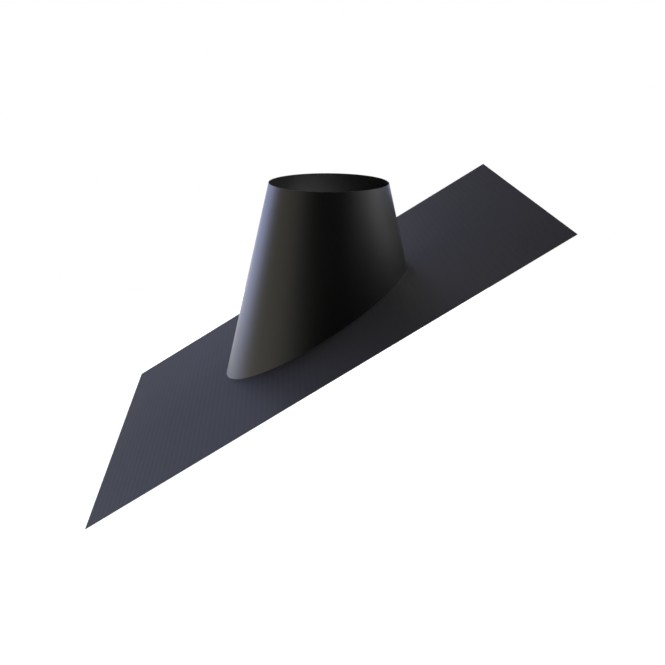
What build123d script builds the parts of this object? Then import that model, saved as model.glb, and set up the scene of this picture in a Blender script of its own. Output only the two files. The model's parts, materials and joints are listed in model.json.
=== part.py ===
from build123d import *
import math
import os

# Roof flashing for an upright flue, in millimetres and degrees.
# A ribbed sheet lies on the roof slope, its oval opening turned up into a lip.
# A rolled cone, the collar, stands upright over the lip, its foot cut to the slope.
# The origin is the middle of the sheet's underside. +X points up the slope, +Z is vertical.

# The sheet, measured along the slope, across it and through it
sheet_length = 900.0
sheet_width = 750.0
sheet_gauge = 1.0
roof_pitch = 32.0

# The shallow ribs that run across the slope, and the flat seat pressed round the collar's foot
rib_pitch = 10.5
rib_relief = 0.1
seat_width = 8.0
seat_rise = 0.3

# The lip that the opening's edge is turned up into, inside the collar
lip_height = 12.0
lip_clearance = 0.4
bend_radius = 1.2

# The collar
flue_diameter = 200.0
flue_clearance = 8.5
flare_angle = 13.0
rim_height = 259.0
collar_gauge = 0.8
seam_lap = 14.0
seam_gap = 0.15

# Worked out from the sizes above
slope = math.tan(math.radians(roof_pitch))
flare = math.tan(math.radians(flare_angle))
rim_radius = flue_diameter / 2 + flue_clearance
collar_wall = collar_gauge / math.cos(math.radians(flare_angle))
seam_step = collar_wall + seam_gap

# The seat's height over the sheet's underside, and over the origin where it crosses the line x = 0
seat_height = sheet_gauge + seat_rise
seat_level = seat_height / math.cos(math.radians(roof_pitch))

# The collar's outer radius at that level, and the shift up the slope that centres the foot's oval
foot_radius = rim_radius + collar_wall + seam_step + (rim_height - seat_level) * flare
axis_x = slope * flare * foot_radius

# Every cone runs from the sheet's lowest edge up to the rim, and every trimming block covers the sheet
cone_floor = -sheet_length / 2 * math.sin(math.radians(roof_pitch))
block_size = 2 * max(sheet_length, sheet_width)
on_slope = Location((0, 0, 0), (0, -roof_pitch, 0))
off_slope = Location((0, 0, 0), (0, roof_pitch, 0))


def upright_cone(radius, x):
    """Solid cone with this radius at the rim's height, widening downwards at the flare angle."""
    height = rim_height - cone_floor
    cone = Cone(radius + height * flare, radius, height, align=(Align.CENTER, Align.CENTER, Align.MIN))
    return Pos(x, 0, cone_floor) * cone


def cone_wall(radius, x):
    """The collar's wall, of constant thickness, round an axis at x."""
    return upright_cone(radius + collar_wall, x) - upright_cone(radius, x)


def rib_profile():
    """Section of the sheet along the slope: flat below, a shallow wave of tangent arcs above."""
    rib_count = int(sheet_length / rib_pitch)
    start = -rib_count * rib_pitch / 2
    half_length = sheet_length / 2
    half_relief = rib_relief / 2
    edges = [
        Line((-half_length, 0), (-half_length, sheet_gauge)),
        Line((half_length, sheet_gauge), (half_length, 0)),
        Line((half_length, 0), (-half_length, 0)),
    ]
    if start > -half_length:
        edges.append(Line((-half_length, sheet_gauge), (start, sheet_gauge)))
        edges.append(Line((-start, sheet_gauge), (half_length, sheet_gauge)))
    for i in range(2 * rib_count):
        left = start + i * rib_pitch / 2
        middle = left + rib_pitch / 4
        right = left + rib_pitch / 2
        side = 1 if i % 2 == 0 else -1
        peak = sheet_gauge + side * half_relief
        edges.append(ThreePointArc((left, sheet_gauge), (middle, peak), (right, sheet_gauge)))
    return make_face(Plane.XZ * Curve(edges))


def seat_outline():
    """The oval in which the slope cuts the collar, widened by the seat, on the sheet's underside."""
    along = foot_radius / math.cos(math.radians(roof_pitch)) + seat_width
    across = foot_radius * math.sqrt(1 - (slope * flare) ** 2) + seat_width
    return Pos(seat_height * slope, 0, 0) * Ellipse(along, across)


def make_seat_ring():
    """Flat seat under the collar's foot, with its inner edge turned up as the lip."""
    lip_radius = rim_radius - lip_clearance
    lip_wall = sheet_gauge / math.cos(math.radians(flare_angle))
    slab = Box(block_size, block_size, seat_height + lip_height, align=(Align.CENTER, Align.CENTER, Align.MIN))
    ring = extrude(seat_outline(), seat_height)
    ring += off_slope * upright_cone(lip_radius, axis_x) & slab
    ring -= off_slope * upright_cone(lip_radius - lip_wall, axis_x)

    on_underside = ring.edges().filter_by_position(Axis.Z, -seat_rise, seat_rise)
    bend = on_underside.sort_by(SortBy.LENGTH)[0]
    return fillet(bend, bend_radius)


def make_base_sheet():
    """Ribbed sheet, flat below, with the seat ring in its middle."""
    sheet = extrude(rib_profile(), sheet_width / 2, both=True)
    sheet -= extrude(seat_outline(), 2 * seat_height)
    return on_slope * (sheet + make_seat_ring())


def make_collar():
    """Cone rolled from one sheet whose ends lap at its shortest side, cut to the slope at its foot."""
    quarter = seam_step / 4
    far_block = Pos(0, block_size / 2, 0) * Box(block_size, block_size, block_size)
    near_block = Pos(0, -block_size / 2, 0) * Box(block_size, block_size, block_size)
    lap_block = Pos(axis_x + block_size / 2, -seam_lap / 2, 0) * Box(block_size, seam_lap, block_size)
    far_side = cone_wall(rim_radius + quarter, axis_x - quarter) & (far_block + lap_block)
    near_side = cone_wall(rim_radius + 3 * quarter, axis_x + quarter) & near_block
    below = Pos(0, 0, seat_height - block_size / 2) * Box(block_size, block_size, block_size)
    return far_side + near_side - on_slope * below


os.makedirs("parts", exist_ok=True)
export_step(make_base_sheet(), "parts/base_sheet.step")
export_step(make_collar(), "parts/collar.step")
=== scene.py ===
import json
import math
import bpy
import bmesh
import numpy as np
from mathutils import Matrix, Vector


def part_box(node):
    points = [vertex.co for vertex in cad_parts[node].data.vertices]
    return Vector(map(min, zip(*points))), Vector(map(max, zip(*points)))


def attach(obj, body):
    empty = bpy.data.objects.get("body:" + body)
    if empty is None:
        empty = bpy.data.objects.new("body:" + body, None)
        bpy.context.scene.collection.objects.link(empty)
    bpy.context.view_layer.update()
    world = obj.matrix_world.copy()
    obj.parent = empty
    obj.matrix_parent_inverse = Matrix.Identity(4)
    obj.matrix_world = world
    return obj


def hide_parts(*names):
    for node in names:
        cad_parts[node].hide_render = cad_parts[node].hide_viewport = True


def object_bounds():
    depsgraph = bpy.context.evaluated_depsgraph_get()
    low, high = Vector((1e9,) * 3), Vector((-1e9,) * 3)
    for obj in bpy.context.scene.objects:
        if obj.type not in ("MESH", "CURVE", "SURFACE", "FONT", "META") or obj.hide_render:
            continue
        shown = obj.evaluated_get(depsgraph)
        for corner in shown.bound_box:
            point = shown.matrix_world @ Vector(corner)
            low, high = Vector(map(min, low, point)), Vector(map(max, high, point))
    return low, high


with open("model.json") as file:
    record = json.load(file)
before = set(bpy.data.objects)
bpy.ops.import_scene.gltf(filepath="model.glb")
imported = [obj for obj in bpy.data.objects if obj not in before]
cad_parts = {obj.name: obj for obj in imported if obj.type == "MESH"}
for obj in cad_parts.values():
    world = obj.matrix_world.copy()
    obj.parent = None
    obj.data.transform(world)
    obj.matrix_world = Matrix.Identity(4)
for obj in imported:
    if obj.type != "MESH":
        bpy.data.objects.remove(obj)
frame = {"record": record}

cadLow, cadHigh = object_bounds()
mounts = {mount["name"]: mount for mount in frame["record"]["mounts"]}
outward = mounts["roof_face"]["axis"]
pitch = math.atan2(outward[0], -outward[2])  # the roof's slope, from the sheet's underside
cosPitch, sinPitch, tanPitch = math.cos(pitch), math.sin(pitch), math.tan(pitch)
axisX, _, rimHeight = mounts["flue_opening"]["pos_m"]
hair = 1e-9  # a length that is only rounding
print("frame loaded, roof pitch", round(math.degrees(pitch), 2))


# Helpers: grids of points become one closed mesh
def onSlope(u, v, w):
    # Sheet coordinates, along the slope, across it and off it, turned up to the roof's pitch. Across stays
    # as it is.
    u, v, w = np.broadcast_arrays(u, v, w)
    return np.stack([u * cosPitch - w * sinPitch, v, u * sinPitch + w * cosPitch], axis=-1)


def gridFaces(rows, columns, first):
    # Quads between neighbouring rows and columns of a grid whose points start at this index.
    index = first + np.arange(rows * columns).reshape(rows, columns)
    return np.stack([index[:-1, :-1], index[:-1, 1:], index[1:, 1:], index[1:, :-1]], axis=-1).reshape(-1, 4)


def solidFromGrids(name, grids, weld=2e-7):
    # Puts grids of points into one mesh, welds the points that they share and turns the faces outwards.
    points = np.concatenate([grid.reshape(-1, 3) for grid in grids])
    faces, first = [], 0
    for grid in grids:
        faces.append(gridFaces(grid.shape[0], grid.shape[1], first))
        first += grid.shape[0] * grid.shape[1]
    faces = np.concatenate(faces)
    mesh = bpy.data.meshes.new(name)
    mesh.from_pydata(points.tolist(), [], faces.tolist())
    work = bmesh.new()
    work.from_mesh(mesh)
    bmesh.ops.remove_doubles(work, verts=work.verts, dist=weld)
    bmesh.ops.dissolve_degenerate(work, edges=work.edges, dist=weld)
    bmesh.ops.recalc_face_normals(work, faces=work.faces)
    openEdges = sum(1 for edge in work.edges if len(edge.link_faces) != 2)
    work.to_mesh(mesh)
    work.free()
    piece = bpy.data.objects.new(name, mesh)
    bpy.context.scene.collection.objects.link(piece)
    print(name, "faces", len(mesh.polygons), "open edges", openEdges)
    return piece


def smoothBut(piece, degrees):
    # Smooth shading, kept sharp where faces meet at more than this angle.
    piece.data.polygons.foreach_set("use_smooth", np.ones(len(piece.data.polygons), bool))
    piece.data.set_sharp_from_angle(angle=math.radians(degrees))


# The collar: a cone rolled from one sheet, its ends lapping at the up-slope side
collarSizes = {
    "rimRadius": 0.1085,  # inside, where the lapped ends are tight
    "flare": math.radians(13),
    "gauge": 0.0008,
    "lap": 0.014,
    "lapGap": 0.00015,
    "stepsRound": 480,
    "lapSteps": 8,
    "levels": 25,
    "sharpOver": 40,  # degrees
}
tanFlare = math.tan(collarSizes["flare"])
collarWall = collarSizes["gauge"] / math.cos(collarSizes["flare"])
seamStep = collarWall + collarSizes["lapGap"]


def coneFoot(centreX, radius, angle, level):
    # Height at which a cone's line at this angle meets the plane that rises at the pitch from this level:
    # the plane's height where the line is at height nought, over one plus the cosine times both tangents,
    # because the line leans in as it rises.
    reach = np.cos(angle) * tanPitch
    return (tanPitch * centreX + reach * (radius + rimHeight * tanFlare) + level) / (1 + reach * tanFlare)


def conePoint(centreX, radius, angle, height):
    # Point on an upright cone: its reach is the radius at the rim, plus the flare's tangent times the drop
    # below it.
    reach = radius + (rimHeight - height) * tanFlare
    return np.stack([centreX + reach * np.cos(angle), reach * np.sin(angle), height], axis=-1)


def rolledWall(offset):
    # The collar's face at this distance from its inner face, as a grid from the foot to the rim. Two half
    # cones whose axes stand apart make the roll grow by one wall and the lap's gap each turn. The first
    # starts early by the lap's length over its reach.
    quarter = seamStep / 4
    halfSteps, levels = collarSizes["stepsRound"] // 2, collarSizes["levels"]
    rise = np.linspace(0, 1, levels)[:, None]
    farCentre, farRadius = axisX - quarter, collarSizes["rimRadius"] + quarter + offset
    nearCentre, nearRadius = axisX + quarter, collarSizes["rimRadius"] + 3 * quarter + offset
    footReach = farRadius + (rimHeight - coneFoot(farCentre, farRadius, 0.0, seatLevel)) * tanFlare
    lapReach = footReach + (farRadius - footReach) * rise
    lapShare = np.linspace(1, 0, collarSizes["lapSteps"] + 1)[:-1]
    lapAngle = -np.arcsin(collarSizes["lap"] / lapReach) * lapShare
    farAngle = np.tile(np.linspace(0, math.pi, halfSteps + 1), (levels, 1))
    farAngle = np.concatenate([lapAngle, farAngle], axis=1)
    farFoot = coneFoot(farCentre, farRadius, farAngle, seatLevel)
    far = conePoint(farCentre, farRadius, farAngle, farFoot + (rimHeight - farFoot) * rise)
    nearAngle = np.linspace(math.pi, 2 * math.pi, halfSteps + 1)
    nearFoot = coneFoot(nearCentre, nearRadius, nearAngle, seatLevel)
    near = conePoint(nearCentre, nearRadius, nearAngle, nearFoot + (rimHeight - nearFoot) * rise)
    return np.concatenate([far[:, :-1], near], axis=1)


def makeCollar():
    # Inner and outer faces of the roll, joined along the foot, the rim and the two ends.
    inner = rolledWall(0.0)
    outer = rolledWall(collarWall)
    rim = np.stack([outer[-1], inner[-1]])
    foot = np.stack([inner[0], outer[0]])
    innerEnd = np.stack([outer[:, 0], inner[:, 0]])
    outerEnd = np.stack([inner[:, -1], outer[:, -1]])
    piece = solidFromGrids("collar_shell", [outer, inner[:, ::-1], rim, foot, innerEnd, outerEnd])
    smoothBut(piece, collarSizes["sharpOver"])
    return piece


# The sheet: ribs across the slope, an oval seat, and a lip turned up inside the collar
sheetSizes = {
    "gauge": 0.001,
    "ribPitch": 0.0105,
    "ribRelief": 0.0001,
    "seatWidth": 0.008,
    "seatRise": 0.0003,
    "lipHeight": 0.012,
    "lipClearance": 0.0004,
    "bendRadius": 0.0012,
    "ribSteps": 12,
    "ovalSteps": 160,
    "stripSteps": 4,
    "bendSteps": 6,
    "sharpOver": 30,  # degrees
}
seatHeight = sheetSizes["gauge"] + sheetSizes["seatRise"]
seatLevel = seatHeight / cosPitch
footRadius = collarSizes["rimRadius"] + collarWall + seamStep + (rimHeight - seatLevel) * tanFlare
lowCorner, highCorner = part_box("base_sheet")
sheetSpan = highCorner - lowCorner
sheetLength = sheetSpan.x * cosPitch + sheetSpan.z * sinPitch - sheetSizes["gauge"] * math.sin(2 * pitch)
sheetWidth = sheetSpan.y
ribCount = int(sheetLength / sheetSizes["ribPitch"] + 1e-6)  # whole ribs, with a little over for rounding
print("sheet", round(sheetLength, 4), "by", round(sheetWidth, 4), "with", ribCount, "ribs")


def ribHeight(u):
    # Height of the upper face over the underside: the gauge and a sine wave with the ribs' relief from top
    # to bottom. Past the last whole rib it is flat.
    halfRun = ribCount * sheetSizes["ribPitch"] / 2
    wave = np.sin(2 * math.pi * (u + halfRun) / sheetSizes["ribPitch"]) * sheetSizes["ribRelief"] / 2
    return sheetSizes["gauge"] + np.where(np.abs(u) < halfRun, wave, 0.0)


def sheetStations(reach, centre):
    # Places along the slope: even steps over each rib, and cosine steps that close up towards the oval's
    # two ends. An even place that all but meets one of the oval's is left out.
    step = sheetSizes["ribPitch"] / sheetSizes["ribSteps"]
    nearest = step / 5
    steps = ribCount * sheetSizes["ribSteps"]
    even = (np.arange(steps + 1) - steps / 2) * step
    even = np.concatenate([[-sheetLength / 2], even, [sheetLength / 2]])
    oval = centre + reach * np.cos(np.linspace(0, math.pi, sheetSizes["ovalSteps"] + 1))
    clear = np.min(np.abs(even[:, None] - oval[None, :]), axis=1) > nearest
    atEnd = np.abs(even) > sheetLength / 2 - hair
    return np.sort(np.concatenate([even[clear | atEnd], oval]))


def makeSheet():
    # Upper and lower faces in two strips each, the sheet's edges, and the ring of seat, lip and bend. A
    # cone cut by a slope has an oval foot. Centred on the sheet, the oval is half as long as the radius
    # there over the pitch's cosine, and half as wide as that radius times the root of one less the two
    # tangents' product squared.
    along = footRadius / cosPitch + sheetSizes["seatWidth"]
    across = footRadius * math.sqrt(1 - (tanPitch * tanFlare) ** 2) + sheetSizes["seatWidth"]
    centre = seatHeight * tanPitch
    u = sheetStations(along, centre)
    half = across * np.sqrt(np.clip(1 - ((u - centre) / along) ** 2, 0, 1))
    share = np.linspace(0, 1, sheetSizes["stripSteps"] + 1)[:, None]
    strip = -sheetWidth / 2 + (sheetWidth / 2 - half) * share
    top = ribHeight(u)
    grids = [onSlope(u, side * strip, level) for level in (top, 0) for side in (1, -1)]
    grids += [onSlope(u, side * sheetWidth / 2, np.stack([0 * top, top])) for side in (-1, 1)]
    for end in (0, -1):
        upDown = np.array([[0], [top[end]]])
        grids += [onSlope(u[end], side * strip[:, end], upDown) for side in (-1, 1)]
    onOval = np.abs(u - centre) < along + hair
    grids.append(seatAndLip(u[onOval], half[onOval]))
    piece = solidFromGrids("ribbed_sheet", grids)
    smoothBut(piece, sheetSizes["sharpOver"])
    return piece


def seatAndLip(u, half):
    # Closed ring of rows: up the seat's edge, in to the lip, over its top, and down round the bend to the
    # underside. A lip point is where a cone's line meets a plane that lies this far off the slope.
    outlineU = np.concatenate([u, u[-2::-1]])
    outlineV = np.concatenate([-half, half[-2::-1]])
    angle = np.unwrap(np.arctan2(outlineV, outlineU * cosPitch - axisX))
    lipOut = collarSizes["rimRadius"] - sheetSizes["lipClearance"]
    lipIn = lipOut - sheetSizes["gauge"] / math.cos(collarSizes["flare"])
    lipTop = seatHeight + sheetSizes["lipHeight"]

    def onLip(radius, w):
        return conePoint(axisX, radius, angle, coneFoot(axisX, radius, angle, w / cosPitch))

    rows = [
        onSlope(outlineU, outlineV, ribHeight(outlineU)),
        onSlope(outlineU, outlineV, seatHeight),
        onLip(lipOut, seatHeight),
        onLip(lipOut, lipTop),
        onLip(lipIn, lipTop),
        *bendRows(onLip(lipIn, 0.0), onLip(lipIn, sheetSizes["bendRadius"])),
        onSlope(outlineU, outlineV, 0.0),
    ]
    return np.stack(rows)


def bendRows(corner, above):
    # Rows round the corner between the lip's inner face, on which the second points lie, and the
    # underside. The bend starts away from the corner by its radius over the tangent of half the corner's
    # angle, on both faces alike, and is a curve with the corner as its middle handle.
    tangent = np.roll(corner[:-1], -1, axis=0) - np.roll(corner[:-1], 1, axis=0)
    tangent = np.concatenate([tangent, tangent[:1]])
    tangent /= np.linalg.norm(tangent, axis=1)[:, None]
    underWay = np.cross(tangent, [-sinPitch, 0.0, cosPitch])
    wallWay = above - corner
    wallWay -= np.sum(wallWay * tangent, axis=1)[:, None] * tangent
    wallWay /= np.linalg.norm(wallWay, axis=1)[:, None]
    turn = np.arccos(np.clip(np.sum(underWay * wallWay, axis=1), -1, 1))[:, None]
    reach = sheetSizes["bendRadius"] / np.tan(turn / 2)
    wallStart, underEnd = corner + wallWay * reach, corner + underWay * reach
    t = np.linspace(0, 1, sheetSizes["bendSteps"] + 1)[:, None, None]
    return wallStart * (1 - t) ** 2 + corner * 2 * t * (1 - t) + underEnd * t**2


# Finishes: two powder coats. Grain and mottle are how many patches a metre holds.
powder = {
    "grain": 2500.0,
    "grainDetail": 3.0,
    "grainHeight": 0.00002,
    "grainStrength": 0.25,
    "mottleDetail": 4.0,
    "shadeDrift": 0.1,  # share of the colour, either way
    "roughnessDrift": 0.02,
}
collarCoat = {**powder, "colour": (0.0075, 0.0075, 0.0075), "roughness": 0.42, "mottle": 9.0}
sheetCoat = {**powder, "colour": (0.026, 0.026, 0.0325), "roughness": 0.56, "mottle": 7.0}


def addNode(tree, kind, inputs, operation=None):
    # New node in this tree. An input is a plain value for its socket, or another node's output that is
    # linked to it.
    node = tree.nodes.new(kind)
    if operation:
        node.operation = operation
    for key, value in inputs.items():
        if isinstance(value, bpy.types.NodeSocket):
            tree.links.new(value, node.inputs[key])
        else:
            node.inputs[key].default_value = value
    return node


def newMaterial(name):
    # Empty material, and its node tree.
    material = bpy.data.materials.new(name)
    material.use_nodes = True
    material.node_tree.nodes.clear()
    return material, material.node_tree


def coatMaterial(name, coat):
    # Powder coat: fine grain as bump, and one slow noise that moves the shade between the colour less and
    # plus its drift, and the roughness likewise.
    material, tree = newMaterial(name)
    place = addNode(tree, "ShaderNodeTexCoord", {}).outputs["Object"]
    grain = {"Vector": place, "Scale": coat["grain"], "Detail": coat["grainDetail"]}
    grain = addNode(tree, "ShaderNodeTexNoise", grain).outputs["Fac"]
    mottle = {"Vector": place, "Scale": coat["mottle"], "Detail": coat["mottleDetail"]}
    mottle = addNode(tree, "ShaderNodeTexNoise", mottle).outputs["Fac"]
    bump = {"Strength": coat["grainStrength"], "Distance": coat["grainHeight"], "Height": grain}
    bump = addNode(tree, "ShaderNodeBump", bump).outputs["Normal"]
    shade = addNode(tree, "ShaderNodeMix", {"Factor": mottle})
    shade.data_type = "RGBA"
    shade.inputs["A"].default_value = (*(c * (1 - coat["shadeDrift"]) for c in coat["colour"]), 1)
    shade.inputs["B"].default_value = (*(c * (1 + coat["shadeDrift"]) for c in coat["colour"]), 1)
    lowest, highest = coat["roughness"] - coat["roughnessDrift"], coat["roughness"] + coat["roughnessDrift"]
    gloss = {"Value": mottle, "To Min": lowest, "To Max": highest}
    gloss = addNode(tree, "ShaderNodeMapRange", gloss).outputs["Result"]
    coating = {"Base Color": shade.outputs["Result"], "Roughness": gloss, "Normal": bump}
    coating = addNode(tree, "ShaderNodeBsdfPrincipled", coating).outputs["BSDF"]
    addNode(tree, "ShaderNodeOutputMaterial", {"Surface": coating})
    return material


collar = makeCollar()
sheet = makeSheet()
for piece, node, slotName in ((collar, "collar", "collar_coating"), (sheet, "base_sheet", "sheet_coating")):
    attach(piece, "root")
    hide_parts(node)
collar.data.materials.append(coatMaterial("collarPowder", collarCoat))
sheet.data.materials.append(coatMaterial("sheetPowder", sheetCoat))
print("finishes done")


# Floor, light and camera
stageSizes = {
    "floorDrop": 0.02,  # under the sheet's low edge
    "floorReach": 1.2,
    "floorColour": (0.9, 0.9, 0.9, 1),
    "floorGlow": 0.85,  # a little under white, so that the shadow stays
}


def paleRays(tree, kinds):
    # One for the rays of these kinds, such as the camera's own, and nothing for the rest.
    path = addNode(tree, "ShaderNodeLightPath", {})
    seen = path.outputs[kinds[0]]
    for kind in kinds[1:]:
        seen = addNode(tree, "ShaderNodeMath", {0: seen, 1: path.outputs[kind]}, "MAXIMUM").outputs[0]
    return seen


def times(tree, first, second):
    # Product of two values.
    return addNode(tree, "ShaderNodeMath", {0: first, 1: second}, "MULTIPLY").outputs[0]


def makeFloor():
    # Plain pale floor. Its white and a glow add up to more than white for the camera, except in the
    # object's shadow, and what is glossy or clear shows the glow too. From below it is clear, so that the
    # underside can be seen.
    reach = stageSizes["floorReach"]
    level = cadLow.z - stageSizes["floorDrop"]
    mesh = bpy.data.meshes.new("floor")
    corners = [(x * reach, y * reach, level) for x, y in ((-1, -1), (1, -1), (1, 1), (-1, 1))]
    mesh.from_pydata(corners, [], [(0, 1, 2, 3)])
    floor = bpy.data.objects.new("floor", mesh)
    bpy.context.scene.collection.objects.link(floor)
    material, tree = newMaterial("floorWhite")
    pale = paleRays(tree, ("Is Camera Ray", "Is Glossy Ray", "Is Transmission Ray"))
    white = {
        "Base Color": stageSizes["floorColour"],
        "Roughness": 1.0,
        "Specular IOR Level": 0.0,
        "Emission Color": (1, 1, 1, 1),
        "Emission Strength": times(tree, pale, stageSizes["floorGlow"]),
    }
    white = addNode(tree, "ShaderNodeBsdfPrincipled", white).outputs["BSDF"]
    clear = addNode(tree, "ShaderNodeBsdfTransparent", {}).outputs["BSDF"]
    below = addNode(tree, "ShaderNodeNewGeometry", {}).outputs["Backfacing"]
    mixed = addNode(tree, "ShaderNodeMixShader", {0: below, 1: white, 2: clear}).outputs["Shader"]
    addNode(tree, "ShaderNodeOutputMaterial", {"Surface": mixed})
    mesh.materials.append(material)


makeFloor()

# Soft panels round the object, in degrees. A bearing is counted from straight behind, and the left is
# positive. A panel is full within its spread of its bearing and between its low and high heights over the
# level. It then fades out, over the soft width at its sides and the fade width above and below.
tints = {"plain": (1, 1, 1), "warm": (1.1, 1, 0.7), "cool": (0.96, 1, 1.36), "blue": (0.84, 1, 1.8)}
softPanels = {
    # bearing, spread, soft, low, high, fade, strength, tint
    "behindLow": (12, 4, 14, -20, -8, 8, 1.05, "cool"),
    "leftBackLow": (36, 14, 14, -16, -9, 5, 0.95, "cool"),
    "behind": (-10, 15, 20, -2, 3, 6, 2.2, "cool"),
    "behindLeft": (25, 5, 18, -3, 3, 8, 0.35, "blue"),
    "behindHigh": (-10, 15, 20, 10, 16, 8, 0.1, "warm"),
    "leftBackHigh": (25, 5, 18, 10, 16, 8, 0.35, "cool"),
    "leftBack": (47, 5, 18, -2, 3, 7, 2.8, "blue"),
    "left": (84, 20, 35, -9, 8, 12, 0.8, "warm"),
    "leftFront": (115, 10, 25, -9, 20, 12, 0.45, "plain"),
    "right": (-68, 8, 36, 24, 45, 14, 7.3, "plain"),
    "rightBack": (-45, 12, 20, -30, 5, 12, 0.3, "blue"),
    "rightFront": (-107, 10, 38, -3, 10, 12, 1.0, "plain"),
    "frontHigh": (180, 60, 40, 45, 60, 14, 0.15, "plain"),
    "top": (0, 180, 10, 62, 95, 14, 0.25, "plain"),
}
backdrop = {"bearing": 10, "spread": 30, "soft": 18, "high": -8, "fade": 8}  # white for what is glossy


def fadeOut(tree, value, start, width):
    # One up to the start, then a smooth fall to nothing over the width. A negative width falls the other
    # way.
    if width > 0:
        ends = {"From Min": start, "From Max": start + width, "To Min": 1, "To Max": 0}
    else:
        ends = {"From Min": start + width, "From Max": start, "To Min": 0, "To Max": 1}
    node = addNode(tree, "ShaderNodeMapRange", {"Value": value, **ends})
    node.interpolation_type = "SMOOTHSTEP"
    return node.outputs["Result"]


def besideBearing(tree, bearing, middle, spread, soft):
    # One within the spread of this bearing, measured the short way round, then a fall to nothing.
    away = addNode(tree, "ShaderNodeMath", {0: bearing, 1: middle}, "SUBTRACT").outputs[0]
    away = addNode(tree, "ShaderNodeMath", {0: away, 1: math.pi, 2: -math.pi}, "WRAP").outputs[0]
    away = addNode(tree, "ShaderNodeMath", {0: away}, "ABSOLUTE").outputs[0]
    return fadeOut(tree, away, spread, soft)


def panelLight(tree, bearing, height, panel):
    # The panel's tint times its strength and its share in this direction: beside its bearing, over its low
    # height and under its high one.
    *angles, strength, tint = panel
    middle, spread, soft, low, high, fade = (math.radians(angle) for angle in angles)
    share = besideBearing(tree, bearing, middle, spread, soft)
    share = times(tree, share, fadeOut(tree, height, low, -fade))
    share = times(tree, share, fadeOut(tree, height, high, fade))
    light = [strength * part for part in tints[tint]]
    return addNode(tree, "ShaderNodeVectorMath", {0: light, "Scale": share}, "SCALE").outputs[0]


def glossyWhite(tree, bearing, height):
    # Share of white that glossy rays see: where the floor goes on behind the object, below the level.
    middle, spread, soft, high, fade = (math.radians(angle) for angle in backdrop.values())
    share = besideBearing(tree, bearing, middle, spread, soft)
    share = times(tree, share, fadeOut(tree, height, high, fade))
    return times(tree, share, paleRays(tree, ("Is Glossy Ray",)))


def makeWorld():
    # Bearing and height come from the direction, and the panels' light is summed over them. The floor's
    # white goes on behind the object for what is glossy. The camera, and what is clear, see white all
    # round instead.
    world = bpy.data.worlds.new("studio")
    bpy.context.scene.world = world
    world.use_nodes = True
    tree = world.node_tree
    tree.nodes.clear()
    way = addNode(tree, "ShaderNodeTexCoord", {}).outputs["Generated"]
    parts = addNode(tree, "ShaderNodeSeparateXYZ", {"Vector": way}).outputs
    left = times(tree, parts["X"], -1.0)
    bearing = addNode(tree, "ShaderNodeMath", {0: left, 1: parts["Y"]}, "ARCTAN2").outputs[0]
    height = addNode(tree, "ShaderNodeMath", {0: parts["Z"]}, "ARCSINE").outputs[0]
    total = (0, 0, 0)
    for panel in softPanels.values():
        light = panelLight(tree, bearing, height, panel)
        total = addNode(tree, "ShaderNodeVectorMath", {0: total, 1: light}, "ADD").outputs[0]
    panels = addNode(tree, "ShaderNodeBackground", {"Color": total}).outputs[0]
    share = glossyWhite(tree, bearing, height)
    floorOn = addNode(tree, "ShaderNodeBackground", {"Color": (1, 1, 1, 1), "Strength": share}).outputs[0]
    studio = addNode(tree, "ShaderNodeAddShader", {0: panels, 1: floorOn}).outputs[0]
    white = addNode(tree, "ShaderNodeBackground", {"Color": (1, 1, 1, 1)}).outputs[0]
    seen = paleRays(tree, ("Is Camera Ray", "Is Transmission Ray"))
    mixed = addNode(tree, "ShaderNodeMixShader", {0: seen, 1: studio, 2: white}).outputs[0]
    addNode(tree, "ShaderNodeOutputWorld", {"Surface": mixed})


makeWorld()
print("light done")

cameraView = {
    "place": (-0.0709, -1.9124, 0.5612),
    "turn": math.radians(3.116),  # to the right of +Y
    "down": math.radians(17.096),
    "roll": math.radians(-0.375),
    "lens": 56.98,
    "sensor": 36.0,
}


def makeCamera():
    # Camera turned about the vertical, tipped down, then rolled about its own line of sight.
    data = bpy.data.cameras.new("camera")
    data.lens = cameraView["lens"]
    data.sensor_width = cameraView["sensor"]
    camera = bpy.data.objects.new("camera", data)
    turned = Matrix.Rotation(-cameraView["turn"], 4, "Z")
    tipped = Matrix.Rotation(math.pi / 2 - cameraView["down"], 4, "X")
    rolled = Matrix.Rotation(-cameraView["roll"], 4, "Z")
    camera.matrix_world = Matrix.Translation(cameraView["place"]) @ turned @ tipped @ rolled
    bpy.context.scene.collection.objects.link(camera)
    bpy.context.scene.camera = camera


makeCamera()
bpy.context.scene.view_settings.view_transform = "Standard"
